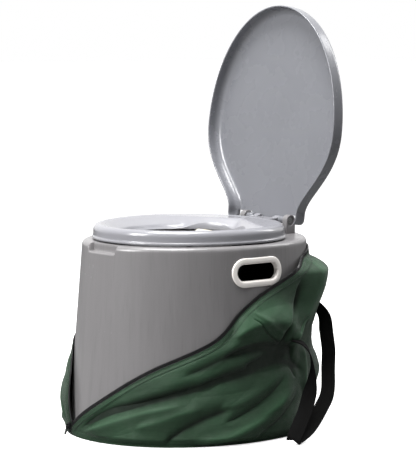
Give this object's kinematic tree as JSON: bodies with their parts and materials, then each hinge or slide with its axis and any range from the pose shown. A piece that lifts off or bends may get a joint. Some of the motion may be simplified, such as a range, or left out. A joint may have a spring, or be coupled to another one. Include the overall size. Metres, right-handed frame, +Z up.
{
  "type": "portable camp toilet",
  "caption": "Oval tapered camp toilet with a lift-out bucket, hinged seat ring and lid, standing in an unzipped cloth carry bag with webbing straps.",
  "frame": {"origin": "on the ground under the middle of the oval base", "axes": "+Z up, -Y is the front that the user faces, +X is the toilet's left side"},
  "size_m": [0.5398, 0.5, 0.744],
  "materials": {
    "casing_plastic": "semi-gloss moulded grey plastic",
    "seat_plastic": "glossy moulded light grey plastic",
    "lid_plastic": "semi-gloss moulded grey plastic",
    "trim_plastic": "white plastic",
    "bucket_plastic": "dark grey plastic",
    "grip_plastic": "off-white plastic",
    "bail_wire": "drawn wire",
    "pin_steel": "plain steel",
    "buffer_rubber": "soft black rubber",
    "bag_fabric": "coated dark green nylon",
    "zip_tape": "black coil zip on woven tape",
    "zip_metal": "black lacquered",
    "strap_webbing": "black woven webbing"
  },
  "bodies": {
    "root": {"outer_casing": "casing_plastic", "hand_slot_trim_left": "trim_plastic", "hand_slot_trim_right": "trim_plastic", "hinge_pin_left": "pin_steel", "hinge_pin_right": "pin_steel", "bag_base": "bag_fabric", "bag_side_left": "bag_fabric", "bag_side_right": "bag_fabric", "zip_tape_left": "zip_tape", "zip_tape_right": "zip_tape", "zip_slider": "zip_metal", "zip_bottom_stop": "zip_metal"},
    "bucket": {"inner_bucket": "bucket_plastic"},
    "bail": {"bucket_bail": "bail_wire"},
    "grip": {"bail_grip": "grip_plastic"},
    "seat": {"seat_ring": "seat_plastic", "seat_buffer_front_left": "buffer_rubber", "seat_buffer_front_right": "buffer_rubber", "seat_buffer_rear_left": "buffer_rubber", "seat_buffer_rear_right": "buffer_rubber"},
    "lid": {"lid": "lid_plastic"},
    "zip_pull": {"zip_pull": "zip_metal"},
    "strap_left": {"carry_strap_left": "strap_webbing"},
    "strap_right": {"carry_strap_right": "strap_webbing"}
  },
  "joints": [
    {"name": "lid_hinge", "type": "hinge", "parent": "root", "child": "lid", "pos_m": [0, 0.182, 0.3595], "axis": [-1, 0, 0], "range_deg": [-96, 0]},
    {"name": "seat_hinge", "type": "hinge", "parent": "root", "child": "seat", "pos_m": [0, 0.182, 0.3595], "axis": [-1, 0, 0], "range_deg": [0, 96]},
    {"name": "bucket_lift", "type": "slide", "parent": "root", "child": "bucket", "axis": [0, 0, 1], "range_m": [0, 0.009]},
    {"name": "bail_swing", "type": "hinge", "parent": "bucket", "child": "bail", "pos_m": [0, -0.022, 0.322], "axis": [1, 0, 0], "range_deg": [0, 160]},
    {"name": "grip_spin", "type": "hinge", "parent": "bail", "child": "grip", "pos_m": [0, 0.05679, 0.33589], "axis": [1, 0, 0], "continuous": true},
    {"name": "zip_pull_swing", "type": "hinge", "parent": "root", "child": "zip_pull", "pos_m": [-0.05352, -0.23408, 0.016], "axis": [-0.9659, 0.2588, 0], "range_deg": [0, 150]},
    {"name": "strap_left_swing", "type": "hinge", "parent": "root", "child": "strap_left", "pos_m": [0.187, 0.074, 0.182], "axis": [0.3622, -0.8878, -0.2841], "range_deg": [0, 60]},
    {"name": "strap_right_swing", "type": "hinge", "parent": "root", "child": "strap_right", "pos_m": [-0.187, 0.074, 0.182], "axis": [0.3622, 0.8878, 0.2841], "range_deg": [0, 60]}
  ]
}
